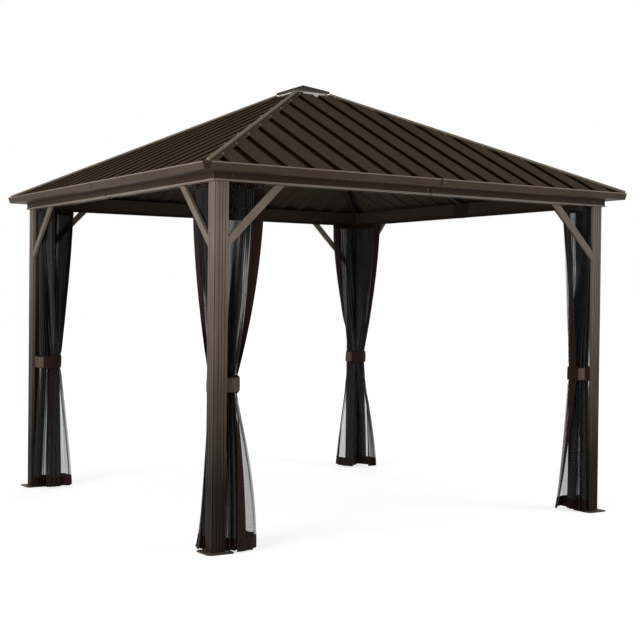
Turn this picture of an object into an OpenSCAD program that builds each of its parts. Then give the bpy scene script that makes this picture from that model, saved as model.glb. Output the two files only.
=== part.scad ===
// Square garden gazebo: a hard roof of ribbed sheets on four corner posts, with
// gathered netting curtains tied back inside each corner.
// Millimetres. The origin is on the ground under the middle of the roof, +Z is up,
// the front faces -Y and the left side faces -X.

/* [Overall] */
// Distance over the outer faces of the posts, the same on both sides
post_span = 2980; // [2400:10:3800]
// Height of the underside of the beams above the ground
clear_height = 2080; // [1900:10:2500]

/* [Posts] */
// Length of each leg of the L-shaped post
post_leg = 84; // [70:1:110]
// Thickness of each leg of the post
post_wall = 22; // [14:1:30]
// Side of the square notch down the outer corner of the post
post_notch = 9; // [5:1:12]
// Width of one flute in the face of a post
flute_w = 5; // [2:0.5:6]
// Depth of one flute
flute_d = 3; // [1:0.5:4]
// Number of flutes in each face of a post
flute_count = 3; // [1:1:4]

/* [Base plates] */
// Side of the square base plate under a post
plate_size = 170; // [150:2:220]
// Thickness of the base plate
plate_t = 6; // [4:1:12]
// Corner radius of the base plate
plate_r = 30; // [10:1:34]
// Distance between the anchor holes of a base plate
anchor_pitch = 118; // [112:1:124]
// Diameter of an anchor hole
anchor_d = 13; // [8:0.5:16]

/* [Beams] */
// How far the face of a beam stands outside the face of a post
beam_proud = 13; // [5:1:20]
// Thickness of a beam
beam_t = 40; // [36:1:60]
// Height of a beam
beam_h = 108; // [80:1:115]
// How far the lip along the foot of a beam stands out
lip_d = 5; // [3:0.5:8]
// Height of that lip
lip_h = 11; // [6:1:16]
// Width of the joint between the two halves of a beam or a gutter
joint_gap = 2; // [1:0.5:4]
// Length of each arm of a beam corner
corner_arm = 97; // [90:1:140]
// Side of the groove down the outer edge of a beam corner
corner_groove = 4; // [2:1:6]
// Length of the splice plate behind the middle of a beam
splice_l = 180; // [120:5:260]
// Thickness of a splice plate
splice_t = 4; // [3:0.5:6]
// Length of the tongue of a splice plate under the beam
splice_tongue = 50; // [30:5:80]

/* [Braces] */
// Reach of a brace along the beam and down the post
brace_reach = 370; // [250:5:500]
// Width of a brace
brace_w = 42; // [30:1:60]
// Thickness of a brace
brace_t = 18; // [10:1:20]

/* [Gutters] */
// How far the top edge of a gutter stands outside the lip of a beam
gutter_reach = 115; // [90:1:150]
// Height of a gutter
gutter_h = 42; // [30:1:60]
// How far the foot of a gutter leans in from its top edge
gutter_lean = 15; // [0:1:25]
// Height of the foot of a gutter above the underside of the beams
gutter_rise = 48; // [30:1:60]
// Thickness of the sheet a gutter is folded from
gutter_t = 3; // [2:0.5:4]
// Width of the folded top edge of a gutter
gutter_lip = 9; // [5:1:12]
// How far the corner of the gutters is cut back along each side
corner_cut = 39; // [25:1:50]

/* [Roof sheets] */
// Rise of the roof sheets from the eave to the middle of the roof
roof_rise = 781; // [600:1:1000]
// Distance from the top edge of the gutter in to the edge of the roof sheets
eave_inset = 20; // [16:1:30]
// Height of the roof sheets at the eave above the top of the gutter
eave_lift = 2; // [0:1:8]
// Thickness of a roof sheet
sheet_t = 3; // [2:0.5:4]
// Distance between the grooves of a roof sheet
groove_pitch = 185.5; // [150:0.5:240]
// Width of a groove at its mouth
groove_w = 50; // [30:1:60]
// Depth of a groove
groove_d = 15; // [8:1:20]
// Slope of a groove's side, as its width for its whole depth
groove_flare = 3; // [1:0.5:6]

/* [Hip caps] */
// Width of the flat strip along a hip
hip_cap_w = 84; // [60:1:120]
// Height of the strip above the roof sheets
hip_cap_t = 2; // [1:0.5:4]
// Width of the bead along the middle of a hip
hip_bead_w = 13; // [8:1:24]
// Height of the bead above the roof sheets
hip_bead_h = 12; // [6:1:20]

/* [Rafters] */
// Width of a rafter
rafter_w = 40; // [30:1:44]
// Depth of a rafter below the roof sheets
rafter_h = 46; // [35:1:60]
// Half the side of the square hub that the rafters meet at
hub_half = 190; // [185:1:240]
// Half the side of the opening in the hub
hub_open = 112; // [100:1:114]
// Depth of the hub
hub_h = 60; // [50:1:90]

/* [Vent] */
// Half the side of the opening that the roof sheets leave at the top
vent_half = 165; // [150:1:175]
// Half the side of the vent cap
cap_half = 138; // [130:1:145]
// Height of the vent cap's top above the middle of the roof sheets
cap_lift = 9; // [5:1:40]
// Rise of the vent cap from its rim to its top
cap_rise = 52; // [30:1:60]
// Height of the vent cap's rim
cap_rim = 14; // [8:1:20]
// Thickness of the vent cap
cap_t = 4; // [2:0.5:5]
// Distance from the vent cap's rim in to the screen
screen_inset = 16; // [10:1:22]
// Thickness of the screen under the vent cap
screen_t = 4; // [3:0.5:6]

/* [Curtains] */
// Reach of a gathered curtain along the beam, from the outer face of the post
curtain_reach = 385; // [200:5:500]
// Thickness of a gathered curtain at its top
curtain_t = 50; // [30:5:80]
// Distance from the outer faces of the post to the middle of a bundle
bundle_mid = 126; // [110:1:160]
// Radius of a bundle where it is tied
bundle_r = 76; // [40:1:80]
// Radius of a bundle at the ground
bundle_foot_r = 165; // [120:5:200]
// Height of the middle of the tie above the ground
tie_height = 940; // [700:10:1200]
// Height of the tie band
tie_h = 92; // [60:1:120]
// Thickness of the tie band
tie_t = 4; // [2:1:6]
// Clearance between a curtain and what is next to it
curtain_gap = 6; // [4:1:10]
// Width of the curtain track
track_w = 14; // [10:1:20]
// Height of the curtain track
track_h = 16; // [10:1:24]
// Height of the foot of the curtain track below the underside of the beams
track_drop = 4; // [0:1:10]

/* [Hidden] */
$fn = 48;
CORNERS = ["front_left", "front_right", "back_right", "back_left"];
SIDES = ["front", "right", "back", "left"];

// A length past the far side of anything it cuts
far = 4000;
// Half distances from the middle of the gazebo
post_face = post_span / 2;
beam_face = post_face + beam_proud;
beam_inner = beam_face - beam_t;
lip_face = beam_face + lip_d;
arm_end = lip_face - corner_arm;
gutter_edge = lip_face + gutter_reach;
gutter_end = gutter_edge - corner_cut;
eave = gutter_edge - eave_inset;
// Heights above the ground
gutter_foot = clear_height + gutter_rise;
gutter_top = gutter_foot + gutter_h;
eave_z = gutter_top + eave_lift;
roof_z = eave_z + roof_rise;
// The roof's slope, and how deep a sheet is measured straight down
pitch = roof_rise / eave;
pitch_angle = atan(pitch);
sheet_drop = (groove_d + sheet_t) / cos(pitch_angle);
// The vent cap's rim
cap_top = roof_z + cap_lift;
rim_top = cap_top - cap_rise;
rim_foot = rim_top - cap_rim;
hub_foot = roof_z - sheet_drop - pitch * vent_half - hub_h;
// The curtain track's place
track_foot = clear_height - track_drop;
curtain_top = track_foot - 4 * curtain_gap;
curtain_foot = 2 * plate_t;
// The tie's edges, and the slimmer ends of the netting that run in under it
tie_foot = tie_height - tie_h / 2;
tie_top = tie_height + tie_h / 2;
waist_r = bundle_r - 2;
waist_lap = 20;

post_colour = "#84776b";
beam_colour = "#7a6c60";
roof_colour = "#4a3f37";
frame_colour = "#4b4038";
netting_colour = "#232323";
tie_colour = "#3a211c";
screen_colour = "#d9d8d4";

// Turns the front side into side number i, going round from the front to the right
module on_side(i) {
    rotate([0, 0, 90 * i]) children();
}

// Puts a corner drawn from the front left post's outer corner at corner number i
module on_corner(i) {
    rotate([0, 0, 90 * i]) translate([-post_face, -post_face, 0]) children();
}

// A square bar with its middle on the origin, seen from above
module plan_square(half) {
    square(2 * half, center = true);
}

// Everything under a pyramid with the roof's slope, or another, and a given top
module pyramid(top, slope, half = far / 2) {
    foot = top - slope * half;
    outline = [[-half, foot - far], [half, foot - far], [half, foot], [0, top], [-half, foot]];
    intersection() {
        rotate([90, 0, 0]) linear_extrude(2 * half, center = true) polygon(outline);
        rotate([90, 0, 90]) linear_extrude(2 * half, center = true) polygon(outline);
    }
}

// The layer between two heights above the tops of the roof sheets, measured straight up
module roof_layer(high, low) {
    difference() {
        pyramid(roof_z + high, pitch);
        pyramid(roof_z + low, pitch);
    }
}

// An upright slab along the front left hip, from the middle out to the corner
module hip_slab(width) {
    rotate([0, 0, 225]) translate([0, -width / 2, 0]) cube([far, width, far]);
}

// ---- posts and what they stand on

module post_outline() {
    flute_pitch = (post_leg - post_notch) / (flute_count + 1);
    difference() {
        square(post_leg);
        translate([post_wall, post_wall]) square(post_leg);
        square(post_notch);
        for (k = [1 : flute_count]) {
            along = post_notch + k * flute_pitch - flute_w / 2;
            translate([along, 0]) square([flute_w, flute_d]);
            translate([0, along]) square([flute_d, flute_w]);
        }
    }
}

module post(i) {
    color(post_colour) on_corner(i) translate([0, 0, plate_t])
        linear_extrude(clear_height - plate_t) post_outline();
}

module base_plate(i) {
    middle = post_leg / 2;
    corner = plate_size / 2 - plate_r;
    color(post_colour) on_corner(i) translate([middle, middle, 0]) difference() {
        union() {
            for (side = [[plate_size, 2 * corner], [2 * corner, plate_size]])
                linear_extrude(plate_t) square(side, center = true);
            for (x = [-corner, corner], y = [-corner, corner])
                translate([x, y, 0]) cylinder(h = plate_t, r = plate_r);
        }
        for (x = [-1, 1], y = [-1, 1])
            translate([x * anchor_pitch / 2, y * anchor_pitch / 2, -1])
                cylinder(h = plate_t + 2, d = anchor_d);
    }
}

module braces(i) {
    inset = (post_wall - brace_t) / 2;
    thick = brace_w * sqrt(2);
    outline = [[0, -brace_reach], [brace_reach, 0], [brace_reach - thick, 0],
        [0, thick - brace_reach]];
    color(post_colour) on_corner(i) translate([0, 0, clear_height]) {
        translate([post_leg, inset + brace_t, 0]) rotate([90, 0, 0])
            linear_extrude(brace_t) polygon(outline);
        translate([inset, post_leg, 0]) rotate([90, 0, 90])
            linear_extrude(brace_t) polygon(outline);
    }
}

// ---- beams

// A beam's section: the distance out from the middle across, the height up
module beam_section() {
    polygon([[beam_inner, clear_height], [lip_face, clear_height],
        [lip_face, clear_height + lip_h], [beam_face, clear_height + lip_h],
        [beam_face, clear_height + beam_h], [beam_inner, clear_height + beam_h]]);
}

// Draws a section along the front, with its width going out to the front
module along_front(from, to) {
    translate([from, 0, 0]) rotate([90, 0, 90]) mirror([1, 0, 0])
        linear_extrude(to - from) children();
}

// Two halves of a section along the front, out to a half length
module front_halves(half) {
    along_front(-half, -joint_gap / 2) children();
    along_front(joint_gap / 2, half) children();
}

module beam(i) {
    color(beam_colour) on_side(i) front_halves(arm_end) beam_section();
}

module beam_corner(i) {
    color(beam_colour) rotate([0, 0, 90 * i]) difference() {
        union() {
            along_front(-lip_face, -arm_end) intersection() {
                beam_section();
                translate([beam_inner, 0]) square([beam_t + lip_d, far]);
            }
            mirror([1, -1, 0]) along_front(-lip_face, -arm_end) beam_section();
        }
        translate([-lip_face, -lip_face, clear_height + lip_h])
            cube([far, lip_d, beam_h]);
        translate([-lip_face, -lip_face, clear_height + lip_h])
            cube([lip_d, far, beam_h]);
        translate([-lip_face, -lip_face, clear_height - 1])
            cube([lip_d + corner_groove, lip_d + corner_groove, far]);
    }
}

module beam_splices() {
    tongue = beam_t / 2;
    color(frame_colour) for (i = [0 : 3]) on_side(i) {
        translate([-splice_l / 2, -beam_inner, clear_height - splice_t])
            cube([splice_l, splice_t, beam_h + splice_t]);
        translate([-splice_tongue / 2, -beam_inner - tongue, clear_height - splice_t])
            cube([splice_tongue, tongue + splice_t, splice_t]);
    }
}

// ---- gutters

// The gutter's section: inner wall, floor, leaning outer wall and folded top edge
module gutter_section() {
    foot_edge = gutter_edge - gutter_lean;
    lean_in = gutter_t * gutter_lean / gutter_h;
    polygon([
        [beam_face, gutter_foot], [foot_edge, gutter_foot], [gutter_edge, gutter_top],
        [gutter_edge - gutter_lip, gutter_top], [gutter_edge - gutter_lip, gutter_top - gutter_t],
        [gutter_edge - gutter_t - lean_in, gutter_top - gutter_t],
        [foot_edge - gutter_t + lean_in, gutter_foot + gutter_t],
        [beam_face + gutter_t, gutter_foot + gutter_t],
        [beam_face + gutter_t, gutter_top - 2 * gutter_t],
        [beam_face, gutter_top - 2 * gutter_t]
    ]);
}

module gutter(i) {
    color(roof_colour) on_side(i) intersection() {
        front_halves(gutter_end) gutter_section();
        linear_extrude(far) polygon([[0, 0], [-far, -far], [far, -far]]);
    }
}

// A cap across the cut-back corner of the gutters, between the ends of two of them
module gutter_corner() {
    // Distances out along the hip
    edge = (gutter_edge + gutter_end) / sqrt(2);
    foot_edge = (gutter_edge - gutter_lean + gutter_end) / sqrt(2);
    inner = gutter_end * sqrt(2);
    intersection() {
        translate([-far - gutter_end, -far - gutter_end, 0]) cube([far, far, far]);
        rotate([0, 0, 225]) rotate([90, 0, 0]) linear_extrude(far, center = true) polygon([
            [inner, gutter_foot], [foot_edge, gutter_foot], [edge, gutter_top],
            [edge - gutter_lip, gutter_top], [edge - gutter_lip, gutter_top - gutter_t],
            [edge - gutter_t - 1, gutter_top - gutter_t],
            [foot_edge - gutter_t, gutter_foot + gutter_t], [inner, gutter_foot + gutter_t]
        ]);
    }
}

module gutter_corners() {
    color(roof_colour) for (i = [0 : 3]) rotate([0, 0, 90 * i]) gutter_corner();
}

// ---- roof

// The ribbed sheet's section: flat pans with a groove pressed down between them
module sheet_section() {
    grooves = floor(eave / groove_pitch);
    mouth = groove_w / 2;
    floor_half = mouth - groove_flare;
    top = [for (k = [-grooves : grooves]) each [
        [k * groove_pitch - mouth, 0], [k * groove_pitch - floor_half, -groove_d],
        [k * groove_pitch + floor_half, -groove_d], [k * groove_pitch + mouth, 0]]];
    underside = [for (k = [grooves : -1 : -grooves]) each [
        [k * groove_pitch + mouth + sheet_t, -sheet_t],
        [k * groove_pitch + floor_half + sheet_t, -groove_d - sheet_t],
        [k * groove_pitch - floor_half - sheet_t, -groove_d - sheet_t],
        [k * groove_pitch - mouth - sheet_t, -sheet_t]]];
    polygon(concat([[-far / 2, 0]], top, [[far / 2, 0], [far / 2, -sheet_t]], underside,
        [[-far / 2, -sheet_t]]));
}

// The roof from above, with its corners cut off inside the folded edge of the gutter corners
module roof_plan() {
    cut = gutter_edge + gutter_end - sqrt(2) * (gutter_lip + 1) - eave;
    polygon([for (turn = [0 : 3]) each [for (end = [[-cut, -eave], [cut, -eave]])
        [end.x * cos(90 * turn) - end.y * sin(90 * turn),
            end.x * sin(90 * turn) + end.y * cos(90 * turn)]]]);
}

module roof(i) {
    color(roof_colour) on_side(i) intersection() {
        translate([0, 0, roof_z]) rotate([90 + pitch_angle, 0, 0])
            linear_extrude(far) sheet_section();
        linear_extrude(far) intersection() {
            roof_plan();
            polygon([[-vent_half, -vent_half], [-far, -far], [far, -far],
                [vent_half, -vent_half]]);
        }
    }
}

module hip_caps() {
    color(roof_colour) for (i = [0 : 3]) rotate([0, 0, 90 * i]) intersection() {
        union() {
            intersection() {
                hip_slab(hip_cap_w);
                roof_layer(hip_cap_t, 0);
            }
            intersection() {
                hip_slab(hip_bead_w);
                roof_layer(hip_bead_h, 0);
            }
        }
        linear_extrude(far) difference() {
            roof_plan();
            plan_square(cap_half + cap_t);
        }
    }
}

module hip_rafter(i) {
    // It rests on the beam corner
    foot = beam_face - corner_groove;
    color(frame_colour) rotate([0, 0, 90 * i]) intersection() {
        hip_slab(rafter_w);
        roof_layer(-sheet_drop, -sheet_drop - rafter_h);
        translate([0, 0, clear_height + beam_h]) linear_extrude(far) difference() {
            plan_square(foot);
            plan_square(hub_half);
        }
    }
}

module mid_rafters() {
    color(frame_colour) for (i = [0 : 3]) on_side(i) intersection() {
        translate([-rafter_w / 2, -beam_face, clear_height + beam_h])
            cube([rafter_w, beam_face - hub_half, far]);
        roof_layer(-sheet_drop, -sheet_drop - rafter_h);
    }
}

module roof_hub() {
    color(frame_colour) intersection() {
        pyramid(roof_z - sheet_drop, pitch);
        translate([0, 0, hub_foot]) linear_extrude(hub_h) difference() {
            plan_square(hub_half);
            plan_square(hub_open);
        }
    }
}

// ---- vent

module cap_inside() {
    pyramid(cap_top - cap_t, cap_rise / cap_half);
}

module vent_cap() {
    color(roof_colour) difference() {
        intersection() {
            pyramid(cap_top, cap_rise / cap_half);
            translate([0, 0, rim_foot]) linear_extrude(far) plan_square(cap_half);
        }
        intersection() {
            cap_inside();
            translate([0, 0, rim_foot - 1]) linear_extrude(far) plan_square(cap_half - cap_t);
        }
    }
}

module vent_screen() {
    outer = cap_half - screen_inset;
    color(screen_colour) intersection() {
        cap_inside();
        translate([0, 0, hub_foot + hub_h]) linear_extrude(far) difference() {
            plan_square(outer);
            plan_square(outer - screen_t);
        }
    }
}

// ---- curtains

// An eight-sided length of the bundle of netting that fills a corner
module bundle(radius, foot, height) {
    translate([bundle_mid, bundle_mid, foot]) rotate([0, 0, 22.5])
        cylinder(h = height, r = radius, $fn = 8);
}

// The netting from the track down to the tie, along one of the corner's two beams
module curtain_fall() {
    behind_beam = post_face - beam_inner + curtain_gap;
    slice = 10;
    hull() {
        translate([post_leg, behind_beam, curtain_top - slice])
            cube([curtain_reach - post_leg, curtain_t, slice]);
        bundle(waist_r, tie_top, slice);
    }
}

// The netting from the tie down, opening out behind the legs of the post
module curtain_skirt() {
    leg = post_leg + curtain_gap;
    wall = post_wall + curtain_gap;
    difference() {
        hull() {
            bundle(waist_r, tie_foot - 1, 1);
            bundle(bundle_foot_r, curtain_foot, 1);
        }
        translate([leg - far, wall - far, 0]) cube([far, far, tie_height]);
        translate([wall - far, leg - far, 0]) cube([far, far, tie_height]);
    }
}

module curtain(i) {
    color(netting_colour) on_corner(i) union() {
        curtain_fall();
        mirror([1, -1, 0]) curtain_fall();
        bundle(bundle_r, tie_foot - waist_lap, tie_h + 2 * waist_lap);
        curtain_skirt();
    }
}

module curtain_ties() {
    clear = 0.5;
    color(tie_colour) for (i = [0 : 3]) on_corner(i) difference() {
        bundle(bundle_r + clear + tie_t, tie_foot, tie_h);
        bundle(bundle_r + clear, tie_foot - 1, tie_h + 2);
    }
}

module curtain_tracks() {
    color(frame_colour) for (i = [0 : 3]) on_side(i) {
        end = beam_inner - 2 * track_w;
        for (from = [-end, splice_l / 2 + curtain_gap])
            translate([from, -beam_inner, track_foot])
                cube([end - splice_l / 2 - curtain_gap, track_w, track_h]);
    }
}

for (i = [0 : 3]) {
    post(i);
    base_plate(i);
    beam_corner(i);
    braces(i);
    hip_rafter(i);
    curtain(i);
    beam(i);
    gutter(i);
    roof(i);
}
beam_splices();
gutter_corners();
hip_caps();
mid_rafters();
roof_hub();
vent_screen();
vent_cap();
curtain_tracks();
curtain_ties();
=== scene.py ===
"""Finishes, fasteners, netting curtains and studio for a square garden gazebo with a hard roof."""
import collections
import math
import random

import bmesh
import bpy
from mathutils import Matrix, Vector


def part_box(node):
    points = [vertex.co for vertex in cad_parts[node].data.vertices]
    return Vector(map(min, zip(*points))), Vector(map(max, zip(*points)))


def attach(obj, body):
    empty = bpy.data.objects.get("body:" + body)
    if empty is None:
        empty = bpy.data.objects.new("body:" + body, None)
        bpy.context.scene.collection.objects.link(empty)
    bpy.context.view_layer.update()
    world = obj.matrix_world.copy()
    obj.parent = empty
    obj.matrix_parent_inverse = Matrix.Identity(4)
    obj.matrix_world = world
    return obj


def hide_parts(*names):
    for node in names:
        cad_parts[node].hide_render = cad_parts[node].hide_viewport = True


bl_info = {
    "name": "Garden gazebo finish",
    "version": (1, 0, 0),
    "blender": (4, 5, 0),
    "location": "3D View > Sidebar > Gazebo",
    "description": "Finishes, fasteners, netting curtains and a studio for a garden gazebo",
    "category": "Object",
}

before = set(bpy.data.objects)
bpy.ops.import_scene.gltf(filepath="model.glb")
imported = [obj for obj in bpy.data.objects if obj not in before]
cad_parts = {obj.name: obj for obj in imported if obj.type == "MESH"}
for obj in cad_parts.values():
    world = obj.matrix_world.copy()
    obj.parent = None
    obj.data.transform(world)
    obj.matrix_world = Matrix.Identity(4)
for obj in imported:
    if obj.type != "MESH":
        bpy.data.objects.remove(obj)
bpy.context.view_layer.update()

BODY = "root"
SIDES = ("front", "right", "back", "left")
MM = 0.001


# ---- measures taken from the frame


def low(node):
    """Lowest corner of a node of the frame."""
    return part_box(node)[0]


def high(node):
    """Highest corner of a node of the frame."""
    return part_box(node)[1]


def top_at(node, axis, place):
    """Height of the highest point of a node where one coordinate has the given value."""
    points = [v.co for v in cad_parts[node].data.vertices]
    return max(p.z for p in points if abs(p[axis] - place) < 0.05 * MM)


POST_FACE = high("back_right_post").x
POST_LEG = POST_FACE - low("back_right_post").x
POST_WALL = POST_FACE - min(v.co.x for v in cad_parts["back_right_post"].data.vertices
                            if v.co.y < low("back_right_post").y + 0.05 * MM)
BRACE_FOOT = low("front_left_braces").z
CLEAR_HEIGHT = low("front_beam").z
BEAM_INNER = -high("front_beam").y
LIP_FACE = -low("front_beam").y
BEAM_HALF = high("front_beam").x
GUTTER_EDGE = -low("front_gutter").y
GUTTER_TOP = high("front_gutter").z
GUTTER_FOOT = low("front_gutter").z
EAVE = -low("front_roof").y
EAVE_Z = top_at("front_roof", 1, -EAVE)
VENT_HALF = -high("front_roof").y
SLOPE = (high("front_roof").z - EAVE_Z) / (EAVE - VENT_HALF)
CAP_HALF = high("vent_cap").x
CURTAIN_FOOT = low("front_left_curtain").z
TIE_FOOT = low("curtain_ties").z
TIE_TOP = high("curtain_ties").z
TRACK_FOOT = low("curtain_tracks").z
# The heading of a panel stands up in front of its rings, a millimetre under the track
HEADING_TOP = TRACK_FOOT - 1 * MM

# Distance between the grooves of a roof sheet, and a groove's width at its mouth
GROOVE_PITCH = 185.5 * MM
GROOVE_WIDTH = 50 * MM


def roof_height(x, y):
    """Height of the roof sheets' pans over a point of the plan."""
    return EAVE_Z + SLOPE * (EAVE - max(abs(x), abs(y)))


# ---- colours


def linear(hex_colour):
    """Linear red, green and blue of an sRGB hex value."""
    shares = [int(hex_colour[k:k + 2], 16) / 255 for k in (1, 3, 5)]
    return tuple(s / 12.92 if s <= 0.04045 else ((s + 0.055) / 1.055) ** 2.4 for s in shares)


def colour_property(name, description, hex_colour):
    """A colour that the user may change, given as an sRGB hex value."""
    return bpy.props.FloatVectorProperty(
        name=name, description=description, subtype="COLOR", size=3, min=0, max=1,
        default=linear(hex_colour))


def length_property(name, description, millimetres):
    """A length that the user may change, given in millimetres."""
    return bpy.props.FloatProperty(
        name=name, description=description, subtype="DISTANCE", unit="LENGTH", min=0,
        default=millimetres * MM)


class GazeboColours(bpy.types.PropertyGroup):
    """Colours of the finishes."""

    post: colour_property("Posts", "Powder coat of the posts, braces and base plates", "#7a6d62")
    beam: colour_property("Beams", "Powder coat of the beams", "#40342a")
    gutter: colour_property("Gutters", "Powder coat of the gutters", "#4d4136")
    roof: colour_property("Roof", "Prepaint of the roof sheets and their trims", "#4d4237")
    # Painted highlight: this colour stands in for the light caught by the beams' lower lips, the
    # gutters' upper lips and the hips' beads
    lip_highlight: colour_property("Lips", "Rubbed lower lips of the beams and upper lips of the gutters",
                         "#8b7d70")
    rafter: colour_property("Rafters", "Paint of the rafters and the tracks", "#2a2019")
    netting: colour_property("Netting", "Threads of the curtains", "#363637")
    hem: colour_property("Hem", "Woven borders of the curtains and their ties", "#22120f")
    tie_end: colour_property("Tie end", "Free end of a curtain tie", "#5c4d44")
    trim: colour_property("Vent cap", "Prepaint of the vent's cap", "#52473d")
    # Painted shade: this colour stands in for the shade in the roof's grooves; the joints of the
    # beams and gutters take it too
    groove: colour_property("Grooves", "Shaded dust in the grooves of the roof", "#1b130d")
    # Painted light: the screen is near white, standing in for the light that shows through the vent
    # under its cap
    screen: colour_property("Screen", "Insect screen of the vent", "#f4f2ec")
    zinc: colour_property("Screws", "Zinc plate of the screws", "#6a6259")
    nylon: colour_property("Rings", "Nylon of the curtain rings and gliders", "#2a2522")
    # Painted shade: this colour darkens the posts towards the ground, where less light falls
    foot_shade: colour_property("Soil", "Soil splashed on the feet of the posts", "#19120b")


class GazeboSizes(bpy.types.PropertyGroup):
    """Sizes of what is fastened to the frame or hangs from it."""

    screw_washer: length_property("Screw washer", "Diameter under a roof screw's head", 17)
    screw_across: length_property("Screw head", "Width of a screw head over its corners", 10)
    panel_width: length_property("Netting width", "Width of one panel before it is gathered", 1500)
    hem_height: length_property("Hem height", "Height of the woven hem of a panel", 70)
    border_width: length_property("Border width", "Width of the woven border of a free edge", 68)
    ring_width: length_property("Ring", "Outer diameter of a curtain ring", 20)
    core_folds: bpy.props.IntProperty(
        name="Folds", description="Folds in the gathered part of a panel", min=3, max=20, default=9)
    flap_folds: bpy.props.IntProperty(
        name="Loose folds", description="Folds in the loose outer part of a panel", min=1, max=8,
        default=5)


class GazeboStudio(bpy.types.PropertyGroup):
    """Camera and lamps."""

    camera_place: bpy.props.FloatVectorProperty(
        name="Camera", description="Place of the camera", subtype="XYZ", unit="LENGTH",
        default=(-4.771, -7.670, 1.416))
    camera_turn: bpy.props.FloatProperty(
        name="Turn", description="Turn of the view from +Y to the right", subtype="ANGLE",
        default=math.radians(32.77))
    camera_rise: bpy.props.FloatProperty(
        name="Rise", description="Rise of the view above the horizon", subtype="ANGLE",
        default=math.radians(-0.86))
    camera_roll: bpy.props.FloatProperty(
        name="Roll", description="Roll of the camera to the left", subtype="ANGLE",
        default=math.radians(0.63))
    lens: bpy.props.FloatProperty(
        name="Lens", description="Focal length on a 36 mm sensor, in millimetres", min=10,
        default=70.69)
    key_power: bpy.props.FloatProperty(
        name="Key", description="Power of the large lamp", subtype="POWER", default=600)
    fill_power: bpy.props.FloatProperty(
        name="Fill", description="Power of the lamp at the right", subtype="POWER", default=340)
    back_power: bpy.props.FloatProperty(
        name="Back", description="Power of the lamp behind", subtype="POWER", default=200)
    sky: bpy.props.FloatProperty(
        name="Sky", description="Strength of the light from all round", min=0, default=0.32)


# ---- materials


def set_inputs(tree, node, inputs):
    """Gives inputs of a node values or links, by name or number, or in their order."""
    pairs = inputs.items() if isinstance(inputs, dict) else enumerate(inputs)
    for socket, value in pairs:
        if isinstance(value, bpy.types.NodeSocket):
            tree.links.new(value, node.inputs[socket])
        else:
            node.inputs[socket].default_value = value


def add_node(tree, kind, inputs=(), output=0, **settings):
    """Adds a node, sets it and its inputs, and returns an output of it, or itself for None."""
    node = tree.nodes.new("ShaderNode" + kind)
    for name, value in settings.items():
        setattr(node, name, value)
    set_inputs(tree, node, inputs)
    return node if output is None else node.outputs[output]


def start_material(name, **principled):
    """A material with one Principled shader, and its tree and shader."""
    material = bpy.data.materials.new(name)
    material.use_nodes = True
    tree = material.node_tree
    tree.nodes.clear()
    named = {key.replace("_", " "): value for key, value in principled.items()}
    shader = add_node(tree, "BsdfPrincipled", named, None)
    add_node(tree, "OutputMaterial", {"Surface": shader.outputs[0]}, None)
    return material, tree, shader


def shade(colour, share=1):
    """A colour made darker or lighter, with alpha."""
    return tuple(min(1.0, channel * share) for channel in colour) + (1.0,)


def lumps(tree, place, size, detail=2.0, stretch=(1, 1, 1)):
    """Soft lumps about size metres across, longer where stretch is above 1."""
    scale = tuple(1 / (size * s) for s in stretch)
    scaled = add_node(tree, "VectorMath", (place, scale), operation="MULTIPLY")
    return add_node(tree, "TexNoise", {"Vector": scaled, "Scale": 1.0, "Detail": detail}, "Fac")


def tint(tree, value, limits, shares, first, second):
    """Two colours, blended by the shares that the second has where a value is at its limits."""
    share = add_node(tree, "MapRange", (value, *limits, *shares))
    return add_node(tree, "Mix", {0: share, 6: first, 7: second}, 2, data_type="RGBA")


def clouded(tree, colour, darkest, lightest, size, detail=2.0, stretch=(1, 1, 1)):
    """A colour that soft clouds make darker and lighter, and the clouds."""
    clouds = lumps(tree, add_node(tree, "TexCoord", output="Object"), size, detail, stretch)
    ends = {6: shade(colour, darkest), 7: shade(colour, lightest)}
    return add_node(tree, "Mix", {0: clouds, **ends}, 2, data_type="RGBA"), clouds


def diagonal_distance(tree, place):
    """Distance from the diagonals of the plan, and from its two middle lines."""
    flat = add_node(tree, "VectorMath", (place,), operation="ABSOLUTE")
    x, y, _ = add_node(tree, "SeparateXYZ", (flat,), None).outputs
    off = add_node(tree, "Math", (x, y), operation="SUBTRACT")
    return add_node(tree, "Math", (off,), operation="ABSOLUTE"), x, y


def seam_mask(tree, place):
    """1 along the joints at the middle of each side and along the mitres, 0 elsewhere."""
    off, x, y = diagonal_distance(tree, place)
    nearest = add_node(tree, "Math", (x, y), operation="MINIMUM")
    nearest = add_node(tree, "Math", (nearest, off), operation="MINIMUM")
    return add_node(tree, "MapRange", (nearest, 3 * MM, 6 * MM, 0.85, 0))


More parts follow.
